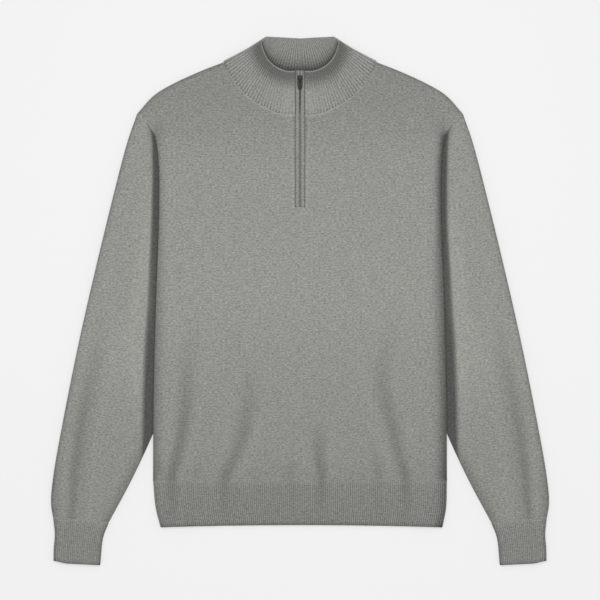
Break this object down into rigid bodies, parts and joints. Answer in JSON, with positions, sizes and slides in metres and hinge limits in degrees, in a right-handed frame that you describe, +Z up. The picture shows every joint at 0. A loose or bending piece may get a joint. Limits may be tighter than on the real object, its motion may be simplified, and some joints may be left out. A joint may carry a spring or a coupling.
{
  "type": "quarter zip sweater",
  "caption": "Grey heathered fine-knit quarter zip sweater laid flat face up, with a ribbed stand collar, ribbed cuffs and hem and a short zip.",
  "frame": {"origin": "on the resting surface, under the middle of the sweater's outline", "axes": "+Y from the hem towards the collar, +X across the shoulders from the wearer's right sleeve to the left one, +Z up out of the front"},
  "size_m": [0.744, 0.79, 0.036],
  "materials": {
    "knit": "matt heathered fine stocking-stitch knit",
    "rib": "matt heathered rib knit",
    "zip_tape": "matt woven tape",
    "zip_metal": "dark gunmetal plating"
  },
  "bodies": {
    "sweater": {"front_panel": "knit", "back_panel": "knit", "hem_rib_front": "rib", "hem_rib_back": "rib", "sleeve_left": "knit", "sleeve_right": "knit", "cuff_left": "rib", "cuff_right": "rib", "collar": "rib", "zip_welt_left": "rib", "zip_welt_right": "rib", "zip_tape_left": "zip_tape", "zip_tape_right": "zip_tape", "zip_slider": "zip_metal"},
    "pull_tab": {"zip_pull": "zip_metal"}
  },
  "joints": [
    {"name": "pull_swing", "type": "hinge", "parent": "sweater", "child": "pull_tab", "pos_m": [0, 0.32986, 0.02831], "axis": [-1, 0, 0], "range_deg": [0, 145]}
  ]
}
